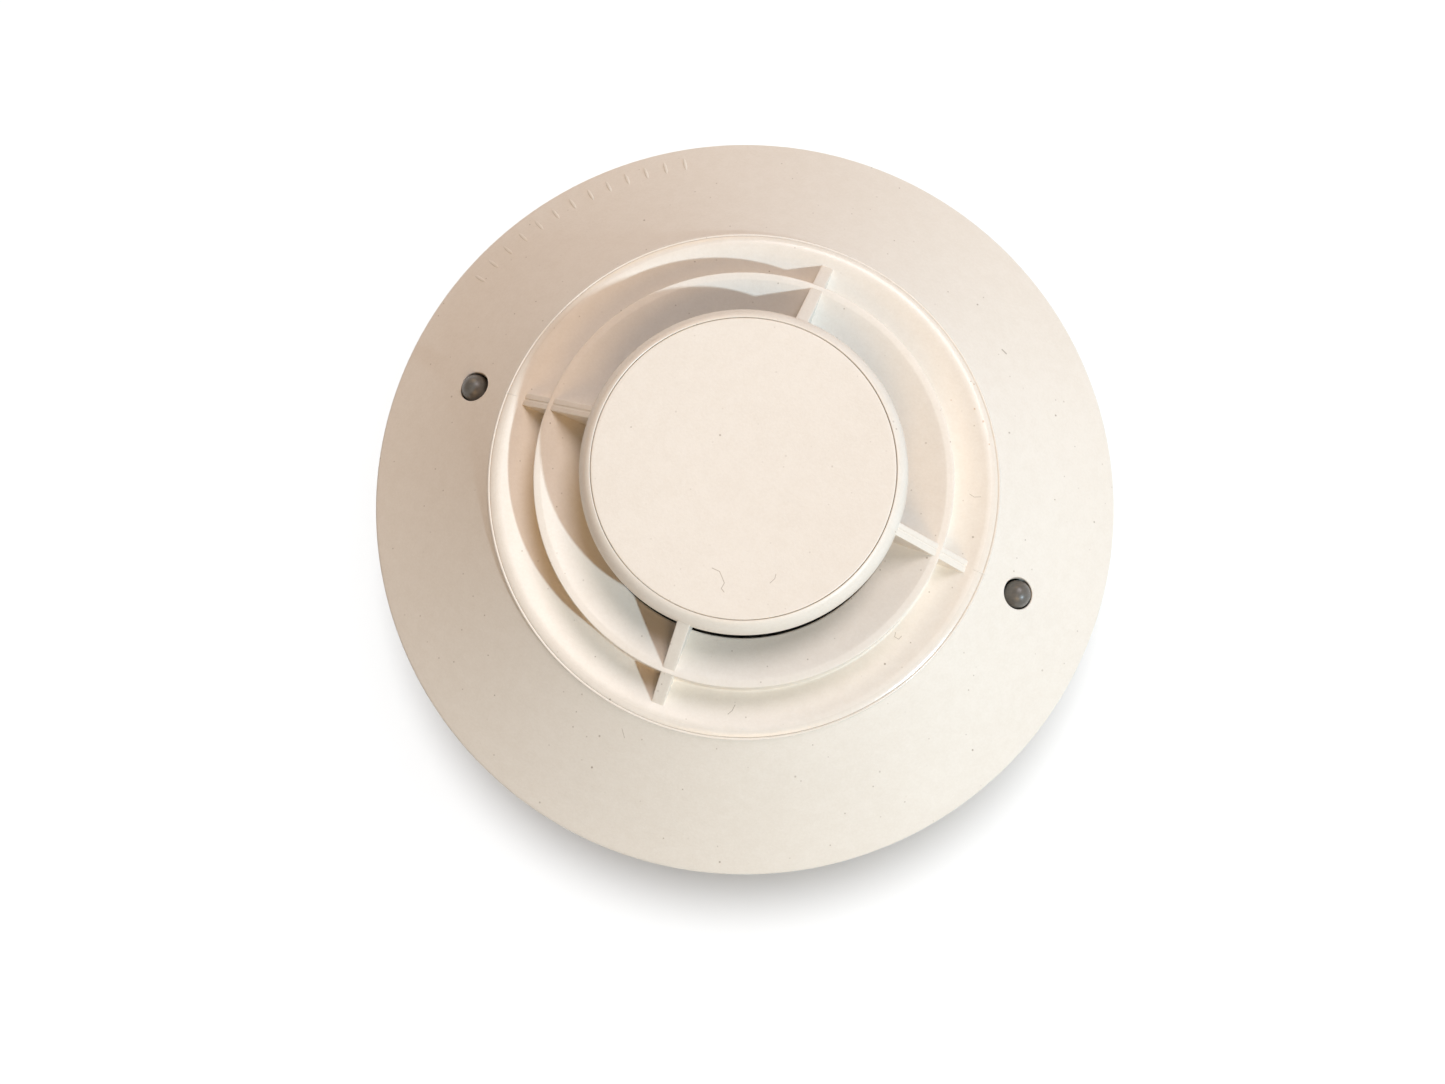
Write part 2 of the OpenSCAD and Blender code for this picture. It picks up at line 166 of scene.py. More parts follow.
class Nodes:
    """Short hand for one material's node tree."""

    def __init__(self, name):
        self.material = bpy.data.materials.new(name)
        self.material.use_nodes = True
        self.tree = self.material.node_tree
        self.shader = self.tree.nodes["Principled BSDF"]
        self.place = self.add("ShaderNodeTexCoord").outputs["Object"]

    def add(self, kind, **settings):
        node = self.tree.nodes.new(kind)
        for key, value in settings.items():
            setattr(node, key, value)
        return node

    def join(self, source, target):
        self.tree.links.new(source, target)

    def fill(self, socket, value):
        """Links an output to a socket, or sets a plain value on it."""
        if hasattr(value, "links"):
            self.join(value, socket)
        else:
            socket.default_value = value

    def put(self, node, **values):
        for key, value in values.items():
            self.fill(node.inputs[key.replace("_", " ")], value)
        return node

    def noise(self, scale, detail=3.0, roughness=0.5, stretch=None):
        node = self.add("ShaderNodeTexNoise")
        where = self.place
        if stretch:
            spread = self.add("ShaderNodeMapping")
            spread.inputs["Scale"].default_value = stretch
            self.join(where, spread.inputs["Vector"])
            where = spread.outputs["Vector"]
        self.put(node, Vector=where, Scale=scale, Detail=detail, Roughness=roughness)
        return node.outputs["Fac"]

    def spread(self, value, low, high, to_low=0.0, to_high=1.0):
        node = self.add("ShaderNodeMapRange")
        self.join(value, node.inputs["Value"])
        for key, number in (("From Min", low), ("From Max", high), ("To Min", to_low), ("To Max", to_high)):
            node.inputs[key].default_value = number
        return node.outputs["Result"]

    def math(self, what, a, b=0.0):
        node = self.add("ShaderNodeMath", operation=what)
        for socket, value in zip(node.inputs, (a, b)):
            self.fill(socket, value)
        return node.outputs[0]

    def vector(self, what, a, b, out=0):
        node = self.add("ShaderNodeVectorMath", operation=what)
        for socket, value in zip(node.inputs, (a, b)):
            self.fill(socket, value)
        return node.outputs[out]

    def blend(self, share, a, b):
        node = self.add("ShaderNodeMix", data_type="RGBA")
        self.fill(node.inputs[MIX_SHARE], share)
        for index, value in ((MIX_A, a), (MIX_B, b)):
            self.fill(node.inputs[index], value if hasattr(value, "links") else (*value, 1.0))
        return node.outputs[MIX_COLOUR]

    def bump(self, height, strength, distance, under=None):
        node = self.add("ShaderNodeBump")
        self.put(node, Height=height, Strength=strength, Distance=distance)
        if under is not None:
            self.join(under, node.inputs["Normal"])
        return node.outputs["Normal"]

    def finish(self, **values):
        self.put(self.shader, **values)
        return self.material


def stroke_group():
    """Node group: how near a point lies to a short stroke from A to B, seen from above."""
    group = bpy.data.node_groups.new("stroke", "ShaderNodeTree")
    for label, kind in (("Place", "NodeSocketVector"), ("A", "NodeSocketVector"), ("B", "NodeSocketVector")):
        group.interface.new_socket(label, in_out="INPUT", socket_type=kind)
    group.interface.new_socket("Width", in_out="INPUT", socket_type="NodeSocketFloat")
    group.interface.new_socket("Mark", in_out="OUTPUT", socket_type="NodeSocketFloat")
    n = Nodes.__new__(Nodes)
    n.tree = group
    given = n.add("NodeGroupInput").outputs
    result = n.add("NodeGroupOutput")
    out = n.vector("SUBTRACT", given["Place"], given["A"])
    along = n.vector("SUBTRACT", given["B"], given["A"])
    share = n.math(
        "DIVIDE",
        n.vector("DOT_PRODUCT", out, along, LENGTH_OUT),
        n.vector("DOT_PRODUCT", along, along, LENGTH_OUT),
    )
    share = n.spread(share, 0.0, 1.0)
    scaled = n.add("ShaderNodeVectorMath", operation="SCALE")
    n.join(along, scaled.inputs[0])
    n.join(share, scaled.inputs["Scale"])
    away = n.vector("LENGTH", n.vector("SUBTRACT", out, scaled.outputs[0]), (0, 0, 0), LENGTH_OUT)
    near = n.math("SUBTRACT", 1.0, n.math("DIVIDE", away, given["Width"]))
    n.join(n.math("MAXIMUM", near, 0.0), result.inputs["Mark"])
    return group


def marked(n, colour, strokes, tint):
    """Lays thin strokes, each (points in mm, half width in mm), over a colour."""
    flat = n.vector("MULTIPLY", n.place, FLAT)
    mark = None
    for path, width in strokes:
        for a, b in zip(path, path[1:]):
            node = n.add("ShaderNodeGroup")
            node.node_tree = STROKE
            n.join(flat, node.inputs["Place"])
            node.inputs["A"].default_value = (a[0] * MM, a[1] * MM, 0)
            node.inputs["B"].default_value = (b[0] * MM, b[1] * MM, 0)
            node.inputs["Width"].default_value = width * MM
            one = node.outputs["Mark"]
            mark = one if mark is None else n.math("MAXIMUM", mark, one)
    return n.blend(n.spread(mark, 0.0, 0.7, 0.0, 0.6), colour, tint)


def dusted(n, colour, scale, size, chosen, tint, strength):
    """Scatters specks: one in each chosen cell of a random pattern."""
    cells = n.add("ShaderNodeTexVoronoi", voronoi_dimensions="2D")
    n.put(cells, Vector=n.place, Scale=scale)
    pick = n.add("ShaderNodeSeparateColor")
    n.join(cells.outputs["Color"], pick.inputs[0])
    near = n.spread(cells.outputs["Distance"], size * 0.4, size, 1.0, 0.0)
    mask = n.math("MULTIPLY", near, n.math("GREATER_THAN", pick.outputs[0], chosen))
    fade = n.math("MULTIPLY", n.math("MULTIPLY", mask, pick.outputs[1]), strength)
    return n.blend(fade, colour, tint)


STROKE = stroke_group()


DUST_BROWN, DUST_PALE = (0.30, 0.22, 0.15), (0.42, 0.34, 0.26)
HAIR_BROWN, STAIN_RUST = (0.26, 0.19, 0.12), (0.52, 0.27, 0.08)
MOTTLE = 0.5  # share of the fine mottling against the broad


def moulded(name, light, dark, roughness, grain=0.22, hairs=(), stains=(), dust=0.0, rubbed=0.0):
    """Spark-eroded moulded plastic: fine grain, faint flow mottling, handling wear and dust.

    rubbed is the radius in mm of a ring that handling has polished.
    """
    n = Nodes(name)
    tone = n.spread(n.noise(28, 3, 0.55), 0.3, 0.7)
    fine = n.spread(n.noise(520, 4, 0.6), 0.35, 0.65)
    grit = n.spread(n.noise(2600, 2, 0.6), 0.3, 0.7, -0.35, 0.35)
    share = n.math("ADD", n.math("MULTIPLY", tone, 1 - MOTTLE), n.math("MULTIPLY", fine, MOTTLE))
    share = n.math("ADD", share, grit)
    colour = n.blend(share, light, dark)
    if dust:
        colour = dusted(n, colour, 190, 0.035, 0.84, DUST_BROWN, dust)
        colour = dusted(n, colour, 420, 0.055, 0.80, DUST_PALE, dust)
    if hairs:
        colour = marked(n, colour, hairs, HAIR_BROWN)
    if stains:
        colour = marked(n, colour, stains, STAIN_RUST)
    worn = n.spread(n.noise(95, 4, 0.6), 0.3, 0.75, roughness - 0.06, roughness + 0.07)
    if rubbed:
        out = n.vector("LENGTH", n.vector("MULTIPLY", n.place, FLAT), (0, 0, 0), LENGTH_OUT)
        off = n.math("ABSOLUTE", n.math("SUBTRACT", out, rubbed * MM))
        worn = n.math("MULTIPLY", worn, n.spread(off, 0.0005, 0.0009, 0.5, 1.0))
    peel = n.bump(n.noise(850, 2, 0.5), 0.10, 0.0002)
    normal = n.bump(n.noise(3600, 3, 0.65), grain, 0.00006, peel)
    return n.finish(Base_Color=colour, Roughness=worn, Normal=normal)


def metal(name, light, dark, roughness, streak=(1, 1, 12)):
    """Drawn or stamped metal with rolling marks and slight tarnish."""
    n = Nodes(name)
    tarnish = n.spread(n.noise(350, 4, 0.65), 0.35, 0.7)
    marks = n.noise(2600, 3, 0.6, streak)
    colour = n.blend(tarnish, light, dark)
    rough = n.spread(marks, 0.3, 0.7, roughness - 0.08, roughness + 0.12)
    normal = n.bump(marks, 0.15, 0.00003)
    return n.finish(Base_Color=colour, Roughness=rough, Normal=normal, Metallic=1.0)


IVORY_LIGHT = (0.86, 0.795, 0.705)
IVORY_DARK = (0.82, 0.75, 0.655)
# dust hairs and stains, seen from above: points in mm, and the half width in mm
COVER_HAIRS = [
    ([(26.10, 30.93), (26.81, 30.66)], 0.16),
    ([(9.58, -27.98), (9.50, -28.8), (9.16, -29.44)], 0.07),
    ([(25.9, -11.4), (26.0, -12.0), (26.6, -12.1), (26.8, -11.6)], 0.06),
    ([(20.2, 19.9), (20.5, 19.2), (21.2, 18.7)], 0.07),
    ([(28.6, 9.4), (29.3, 9.2), (30.1, 9.5)], 0.05),
    ([(-3.3, -36.2), (-2.6, -37.2)], 0.05),
]
COVER_STAINS = [
    ([(25.20, 20.33), (25.22, 20.30)], 0.15), ([(26.87, 19.16), (26.88, 19.10)], 0.17),
    ([(28.68, 16.52), (28.70, 16.50)], 0.12), ([(23.97, 23.50), (23.99, 23.46)], 0.12),
    ([(21.87, 20.48), (21.90, 20.46)], 0.10),
]
DISC_HAIRS = [
    ([(0.96, -13.49), (2.0, -13.55), (2.56, -14.11), (3.1, -14.7), (3.0, -15.5), (3.48, -15.79)], 0.07),
    ([(8.78, -11.30), (8.85, -11.9), (8.48, -12.64)], 0.06),
    ([(-4.27, 2.80), (-4.25, 2.78)], 0.17), ([(-15.25, -0.31), (-15.24, -0.30)], 0.12),
]
RUBBED_R = 33.6  # the collar's crest
ivory_cover = moulded(
    "ivory_cover", IVORY_LIGHT, IVORY_DARK, 0.42,
    hairs=COVER_HAIRS, stains=COVER_STAINS, dust=0.8, rubbed=RUBBED_R,
)
ivory_disc = moulded("ivory_disc", IVORY_LIGHT, IVORY_DARK, 0.45, hairs=DISC_HAIRS, dust=0.35)
ivory_base = moulded("ivory_base", (0.80, 0.74, 0.65), (0.76, 0.69, 0.60), 0.48, 0.2)
black_moulding = moulded("black_moulding", (0.022, 0.022, 0.024), (0.035, 0.034, 0.034), 0.5, 0.25)
epoxy = moulded("black_epoxy", (0.012, 0.012, 0.013), (0.024, 0.023, 0.022), 0.35, 0.3)
dial_plastic = moulded("dial_plastic", (0.80, 0.79, 0.74), (0.74, 0.72, 0.66), 0.4, 0.1)
switch_plastic = moulded("switch_plastic", (0.03, 0.075, 0.22), (0.04, 0.09, 0.25), 0.32, 0.1)
ceramic = moulded("tan_ceramic", (0.34, 0.22, 0.12), (0.28, 0.18, 0.10), 0.45, 0.3)
brass = metal("spring_brass", (0.78, 0.58, 0.26), (0.55, 0.38, 0.16), 0.26)
steel = metal("plated_steel", (0.62, 0.62, 0.63), (0.45, 0.44, 0.42), 0.32)
tinned = metal("tinned_wire", (0.66, 0.65, 0.62), (0.50, 0.49, 0.47), 0.36)
aluminium = metal("drawn_aluminium", (0.70, 0.70, 0.71), (0.60, 0.60, 0.61), 0.30)


def lamp_plastic():
    """Smoky lens plastic with a soft shine, which lets a little light through."""
    n = Nodes("smoky_lens")
    haze = n.spread(n.noise(700, 3, 0.6), 0.35, 0.65)
    colour = n.blend(haze, (0.125, 0.115, 0.099), (0.175, 0.158, 0.136))
    rough = n.spread(n.noise(1500, 3, 0.6), 0.3, 0.7, 0.36, 0.50)
    normal = n.bump(n.noise(2600, 2, 0.5), 0.12, 0.00004)
    return n.finish(
        Base_Color=colour, Roughness=rough, Normal=normal,
        Transmission_Weight=0.15, Coat_Weight=0.25, Coat_Roughness=0.28,
    )


def board_material():
    """Green solder mask over copper, with the tracks just showing through."""
    n = Nodes("solder_mask")
    tracks = n.add("ShaderNodeTexBrick", offset=0.37, squash=1.6, squash_frequency=3)
    n.put(tracks, Vector=n.place, Scale=160.0, Mortar_Size=0.035, Mortar_Smooth=0.2)
    shade = n.spread(n.noise(240, 3, 0.5), 0.3, 0.7)
    mask = n.blend(shade, (0.012, 0.085, 0.035), (0.018, 0.11, 0.045))
    colour = n.blend(tracks.outputs["Fac"], mask, (0.03, 0.17, 0.07))
    normal = n.bump(tracks.outputs["Fac"], 0.25, 0.00004)
    rough = n.spread(n.noise(900, 2, 0.5), 0.3, 0.7, 0.22, 0.34)
    return n.finish(Base_Color=colour, Roughness=rough, Normal=normal)


def glass_material():
    """Thin drawn glass with slight swirls."""
    n = Nodes("reed_glass")
    swirl = n.noise(900, 2, 0.5)
    rough = n.spread(swirl, 0.3, 0.7, 0.02, 0.08)
    tint = n.blend(swirl, (0.86, 0.96, 0.93), (0.78, 0.92, 0.88))
    normal = n.bump(swirl, 0.05, 0.00003)
    return n.finish(Base_Color=tint, Roughness=rough, Normal=normal, Transmission_Weight=1.0, IOR=1.5)


lens = lamp_plastic()
board_green = board_material()
glass = glass_material()

CARRIED = {
    black_moulding: ["rear_housing", "sensor_plate"],
    epoxy: [
        "thermistor_right", "thermistor_left", "controller_chip", "line_chip", "bridge_rectifier",
        "surge_diode", "chip_resistors",
    ],
    brass: [f"base_contact_{i}" for i in (1, 2, 3, 4)] + [f"contact_blade_{i}" for i in (1, 2, 3, 4)],
    steel: ["clamp_plates", "terminal_screws", "housing_screws"],
    tinned: ["thermistor_leads", "chip_pins", "reed_leads"],
    aluminium: ["electrolytic_capacitor", "crystal"],
    ceramic: ["chip_capacitors"],
    switch_plastic: ["address_switch_tens", "address_switch_units"],
    dial_plastic: ["tens_dial", "units_dial"],
    board_green: ["circuit_board"],
    glass: ["reed_switch"],
    ivory_base: ["base_body"],
}
for material, names in CARRIED.items():
    for name in names:
        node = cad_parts[name]
        for material_slot in node.material_slots:
            material_slot.material = material
        if not node.material_slots:
            node.data.materials.append(material)


# ---------------------------------------------------------------- front cover

SLOPE, FLARE = 0.751, 0.0053  # the flange's rise per millimetre inwards, and how it steepens
EDGE_H, EDGE_ROUND = 1.2, 0.8
SLOPE_ANGLE = math.degrees(math.atan(SLOPE))
EDGE_TOP_R = FLANGE_R - EDGE_ROUND * (1 - math.sin(math.radians(SLOPE_ANGLE)))
EDGE_TOP_Z = EDGE_H + EDGE_ROUND * math.cos(math.radians(SLOPE_ANGLE))
CREST_R, CREST_Z, CREST_ROUND = 34.2, 16.65, 0.4
CROWN_ROUND, CROWN_TURN, FLOOR_ANGLE = 2.2, 55, 15
BEAD_ROUND, BEAD_Z, BEVEL_END = 0.2, 16.86, 33.8  # the fine bead outside the collar's bevel
CROWN_R = CREST_R - CREST_ROUND - (CROWN_ROUND - CREST_ROUND) * math.cos(math.radians(CROWN_TURN))
CROWN_Z = CREST_Z - (CROWN_ROUND - CREST_ROUND) * math.sin(math.radians(CROWN_TURN))
CROWN_IN = CROWN_R - CROWN_ROUND * math.sin(math.radians(FLOOR_ANGLE))
CROWN_IN_Z = CROWN_Z + CROWN_ROUND * math.cos(math.radians(FLOOR_ANGLE))
RING_R, RING_IN, RING_TOP = 27.6, 26.6, 21.5
RING_FOOT = CROWN_IN_Z - (CROWN_IN - RING_R) * math.tan(math.radians(FLOOR_ANGLE))
INLET_R, INLET_Z = 21.0, 19.9
FLOOR_WALL, FLANGE_WALL = 1.6, 2.6
RING_UNDER = RING_R - 1.7
CAP_R, RIM_WIDE, RIM_HIGH, CAP_UNDER = 21.2, 1.8, 3.2, 25.9
DISC_R, SEAM = 19.5, 0.07
RIB_W = 1.7
LAMP_AT, LAMP_R, LAMP_HOLE_R = 39.55, 1.9, 2.1
HOLE_LIP = 0.16  # rounding of the lamp hole's edge
PATCH_IN, PATCH_OUT, PATCH_CELLS = 35.6, 43.5, 24  # the part of the flange round a lamp


def flange_top(r):
    """Height of the flange's outer face at a radius."""
    d = EDGE_TOP_R - r
    return EDGE_TOP_Z + SLOPE * d + FLARE * d * d


UNDER_OUT = EDGE_TOP_R - 1.2
UNDER_IN = CREST_R - 1.1


def flange_under(r):
    """Height of the flange's inner face, a plain cone."""
    share = (r - UNDER_IN) / (UNDER_OUT - UNDER_IN)
    inner, outer = flange_top(UNDER_IN) - FLANGE_WALL, flange_top(UNDER_OUT) - FLANGE_WALL
    return inner + share * (outer - inner)


def cover_outline():
    """The cover's section, out over the top and back underneath.

    Also gives the rows where the lamps' patches start, on top and underneath.
    """
    line = [(FLANGE_R - 0.25, 0.0), (FLANGE_R - 0.07, 0.07), (FLANGE_R, 0.25)]
    line += arc(FLANGE_R - EDGE_ROUND, EDGE_H, EDGE_ROUND, EDGE_ROUND, 0, 90 - SLOPE_ANGLE, 10)
    line += [(r, flange_top(r)) for r in np.linspace(EDGE_TOP_R - 0.8, PATCH_OUT + 0.5, 18)]
    top_at = len(line)
    line += [(r, flange_top(r)) for r in np.linspace(PATCH_OUT, PATCH_IN, PATCH_CELLS + 1)]
    line += [(r, flange_top(r)) for r in (35.2, 34.8, 34.5, 34.34)]
    line += [(34.26, flange_top(34.26) + 0.02), (CREST_R, flange_top(CREST_R) + 0.08)]
    line += arc(CREST_R - BEAD_ROUND, BEAD_Z, BEAD_ROUND, BEAD_ROUND, 0, 165, 12)
    bevel_turn = math.degrees(math.acos((BEVEL_END - CROWN_R) / CROWN_ROUND))
    line += [(BEVEL_END + 0.02, BEAD_Z - 0.02)]
    line += arc(CROWN_R, CROWN_Z, CROWN_ROUND, CROWN_ROUND, bevel_turn, 90 + FLOOR_ANGLE, 18)
    line += [
        (r, RING_FOOT + (r - RING_R) * math.tan(math.radians(FLOOR_ANGLE)))
        for r in np.linspace(CROWN_IN - 0.4, RING_R + 0.45, 5)
    ]
    line += arc(RING_R + 0.3, RING_FOOT + 0.42, 0.3, 0.3, 250, 180, 5)
    line += [(RING_R, z) for z in np.linspace(RING_FOOT + 0.8, RING_TOP - 0.5, 8)]
    line += arc(RING_R - 0.14, RING_TOP - 0.14, 0.14, 0.14, 0, 90, 4)
    line += [(RING_R - 0.4, RING_TOP), (RING_IN + 0.12, RING_TOP), (RING_IN, RING_TOP - 0.01)]
    fall = (RING_TOP - INLET_Z) / (RING_IN - INLET_R)
    line += [(r, RING_TOP - (RING_IN - r) * fall) for r in np.linspace(RING_IN - 0.15, INLET_R + 0.3, 10)]
    line += arc(INLET_R + 0.22, INLET_Z - 0.16, 0.22, 0.22, 106, 180, 4)
    line += [
        (INLET_R, INLET_Z - FLOOR_WALL),
        (RING_UNDER, INLET_Z - FLOOR_WALL + (RING_UNDER - INLET_R) * fall),
        (RING_UNDER, RING_FOOT - FLOOR_WALL - 1),
        (CROWN_IN, CROWN_IN_Z - FLOOR_WALL),
        (CROWN_R, CROWN_IN_Z - FLOOR_WALL),
        (UNDER_IN, flange_under(UNDER_IN)),
    ]
    under_at = len(line)
    line += [(r, flange_under(r)) for r in np.linspace(PATCH_IN, PATCH_OUT, PATCH_CELLS + 1)]
    line += [(UNDER_OUT, flange_under(UNDER_OUT)), (FLANGE_R - FLOOR_WALL, 0.0)]
    return line, top_at, under_at


def ring_of_patch(first_row, side):
    """Grid indices round the square of flange that a lamp's hole replaces, as one loop."""
    middle = 0 if side > 0 else TURNS // 2
    low, high = middle - PATCH_CELLS // 2, middle + PATCH_CELLS // 2
    rows = range(first_row, first_row + PATCH_CELLS + 1)
    loop = [(rows[0], j) for j in range(low, high)]
    loop += [(i, high) for i in rows[:-1]]
    loop += [(rows[-1], j) for j in range(high, low, -1)]
    loop += [(i, low) for i in reversed(rows[1:])]
    return [i * TURNS + j % TURNS for i, j in loop]


def cover_shell():
    """The cover as one skin, with a lamp hole cut through each side of the flange."""
    line, top_at, under_at = cover_outline()
    half = PATCH_CELLS // 2

    def in_patch(i, j):
        near = (j + half) % TURNS < PATCH_CELLS or (j + half - TURNS // 2) % TURNS < PATCH_CELLS
        return near and (top_at <= i < top_at + PATCH_CELLS or under_at <= i < under_at + PATCH_CELLS)

    points, faces = turned(line, TURNS, in_patch)
    extra = []
    base = len(points)

    def add_ring(ring):
        nonlocal base
        extra.append(np.array(ring))
        base += len(ring)
        return list(range(base - len(ring), base))

    def stitch(a, b):
        count = len(a)
        for k in range(count):
            m = (k + 1) % count
            faces.append((a[k], a[m], b[m], b[k]))

    for side in (1, -1):
        centre = np.array([side * LAMP_AT, 0.0])
        ends = []
        for first_row, surface, is_top in ((top_at, flange_top, True), (under_at, flange_under, False)):
            loop = ring_of_patch(first_row, side)
            out = points[loop][:, :2] - centre
            reach = np.linalg.norm(out, axis=1)
            way = out / reach[:, None]
            last = loop
            hole = LAMP_HOLE_R + (HOLE_LIP if is_top else 0.0)
            for share in (0.2, 0.4, 0.6, 0.78, 0.92, 1.0):
                spot = centre + way * (reach * (1 - share) + hole * share)[:, None]
                height = surface(np.linalg.norm(spot, axis=1))
                ring = add_ring(np.column_stack([spot, height]))
                stitch(last, ring)
                last = ring
            if is_top:
                for turn in (22.5, 45, 67.5, 90):
                    a = math.radians(turn)
                    spot = centre + way * (hole - HOLE_LIP * math.sin(a))
                    edge = surface(np.linalg.norm(centre + way * hole, axis=1))
                    height = edge - HOLE_LIP * (1 - math.cos(a))
                    ring = add_ring(np.column_stack([spot, height]))
                    stitch(last, ring)
                    last = ring
            ends.append((last, way))
        (top, top_way), (under, under_way) = ends
        # the underside's loop runs the other way round, so each point meets the one nearest its direction
        nearest = [int(np.argmax(under_way @ w)) for w in top_way]
        foot = [under[k] for k in nearest]
        count = len(top)
        for k in range(count):
            m = (k + 1) % count
            if foot[k] == foot[m]:
                faces.append((top[k], top[m], foot[k]))
            else:
                faces.append((top[k], top[m], foot[m], foot[k]))
    return np.vstack([points, *extra]), faces


RIB_IN, RIB_RISE, RIB_END = 17.6, 20.4, 32.0  # radii where a rib starts, shows past the rim, and ends
RIB_TOP = [(RIB_RISE, 27.6), (21.19, 26.88), (26.99, 21.51), (31.5, 17.15), (RIB_END, 16.67)]
RIB_UNDER = [
    (RIB_IN, CAP_UNDER - 1.2), (21.3, INLET_Z - 1), (26.3, RING_TOP - 1), (27.3, RING_TOP - 1),
    (27.31, RING_FOOT - 0.3), (30.6, 16.35), (RIB_END, 16.2),
]


def rib(turn, parted):
    """One radial rib. parted ribs carry the fine line where the mould halves met."""
    hidden = np.linspace(RIB_IN, RIB_RISE - 0.01, 6)
    shown = np.arange(RIB_RISE, RIB_END + 0.01, 0.2)
    corners = [RIB_TOP[1][0], RIB_TOP[2][0]]
    stations = np.unique(np.concatenate([hidden, shown, corners]))
    side, edge = RIB_W / 2, 0.13
    across = [(-side, -edge)] + [
        (-side + edge - edge * math.cos(math.radians(a)), -edge + edge * math.sin(math.radians(a)))
        for a in (30, 60, 90)
    ]
    if parted:
        across += [(-0.17, 0.0), (-0.10, -0.10), (0.0, -0.11)]
    else:
        across += [(-0.3, 0.0), (0.0, 0.0)]
    across += [(-u, v) for u, v in reversed(across[:-1])]
    sections = []
    for r in stations:
        top = np.interp(r, *zip(*RIB_TOP)) if r >= RIB_RISE else CAP_UNDER + 0.3
        under = np.interp(r, *zip(*RIB_UNDER))
        under = min(under, top - 0.3)
        line = [(r, u, top + v) for u, v in across] + [(r, side, under), (r, -side, under)]
        sections.append(np.array(line))
    points, faces = swept(sections)
    return about_z(points, turn), faces


def cap_rim():
    """The rounded rim round the cap disc, with the seam's inner wall."""
    seam_at = math.degrees(math.acos((DISC_R + SEAM - (CAP_R - RIM_WIDE)) / RIM_WIDE))
    top = arc(CAP_R - RIM_WIDE, CAP_UNDER, RIM_WIDE, RIM_HIGH, seam_at - 3, 6, 26)
    seam_r = DISC_R + SEAM
    line = [(seam_r, CAP_UNDER + 1.2), (seam_r, top[0][1] - 0.12), (seam_r + 0.02, top[0][1] - 0.04)]
    line += top + [(CAP_R, CAP_UNDER + 0.22), (CAP_R - 0.04, CAP_UNDER + 0.06), (CAP_R - 0.16, CAP_UNDER)]
    line += [(DISC_R - 1.3, CAP_UNDER), (DISC_R - 1.3, CAP_UNDER + 1.2)]
    return turned(line)


def raised(path, half_width, height, steps=6):
    """A rounded raised line on the flange, along points (x, y)."""
    path = np.array(path, float)
    ahead = np.roll(path, -1, 0) - np.roll(path, 1, 0)
    ahead[0], ahead[-1] = path[1] - path[0], path[-1] - path[-2]
    ahead /= np.linalg.norm(ahead, axis=1)[:, None]
    left = np.column_stack([-ahead[:, 1], ahead[:, 0]])
    sections = []
    for k, spot in enumerate(path):
        end = min(1.0, 0.35 + min(k, len(path) - 1 - k) * 0.33)  # narrows towards both ends
        row = []
        for u in np.linspace(-1, 1, steps + 1):
            at = spot + left[k] * u * half_width * end
            lift = height * end * math.sqrt(max(0.0, 1 - u * u)) - 0.01
            row.append((*at, flange_top(np.linalg.norm(at)) + lift))
        for u in (0.8, -0.8):
            at = spot + left[k] * u * half_width * end
            row.append((*at, flange_top(np.linalg.norm(at)) - 0.2))
        sections.append(np.array(row))
    return swept(sections)


def parting_ridge(turn):
    """The fine witness line of the mould across the collar."""
    path = arc(CREST_R - BEAD_ROUND, BEAD_Z, BEAD_ROUND, BEAD_ROUND, -6, 110, 6)
    path += arc(CROWN_R, CROWN_Z, CROWN_ROUND, CROWN_ROUND, CROWN_TURN + 8, 96, 8)
    sections = []
    for k, (r, z) in enumerate(path):
        a, b = path[max(k - 1, 0)], path[min(k + 1, len(path) - 1)]
        along = np.array([b[0] - a[0], b[1] - a[1]])
        along /= np.linalg.norm(along)
        out = np.array([along[1], -along[0]])
        row = []
        for u, v in ((-0.10, -0.06), (-0.06, 0.07), (0.06, 0.07), (0.10, -0.06)):
            row.append((r + out[0] * v, u, z + out[1] * v))
        sections.append(np.array(row))
    points, faces = swept(sections)
    return about_z(points, turn), faces


def lifted(part):
    """The part moved from the flange's edge up to its place in the frame."""
    points, faces = part
    return np.asarray(points) + (0, 0, LEVEL), faces


cover_parts = [cover_shell(), cap_rim()]
cover_parts += [rib(turn, turn % 180 == 0) for turn in (0, 90, 180, 270)]
cover_parts += [parting_ridge(0), parting_ridge(180)]
# plain ticks, where the real cover carries moulded words
TICK_TURNS, TICK_RADII = np.linspace(121, 161, 13), np.linspace(47.9, 50.1, 9)
TICK_HALF, TICK_HIGH = 0.24, 0.16
for turn in TICK_TURNS:
    a = math.radians(turn)
    path = [(r * math.cos(a), r * math.sin(a)) for r in TICK_RADII]
    cover_parts.append(raised(path, TICK_HALF, TICK_HIGH))
piece(
    "cover_moulding", [lifted(p) for p in cover_parts], ivory_cover, "head", ["front_cover"]
)

disc_top, disc_low = CAP_TOP - 0.05, CAP_UNDER + 1.25
disc_step = DISC_R + 0.04  # the disc nearly meets the rim below the seam
disc_line = [(0.0, disc_low), (disc_step, disc_low), (disc_step, disc_top - 0.38), (DISC_R, disc_top - 0.34)]
disc_line += arc(DISC_R - 0.16, disc_top - 0.16, 0.16, 0.16, 0, 90, 5)
disc_line += [(r, disc_top) for r in (19.0, 17.5, 14.0, 10.0, 6.0, 3.0, 1.0)] + [(0.0, disc_top)]


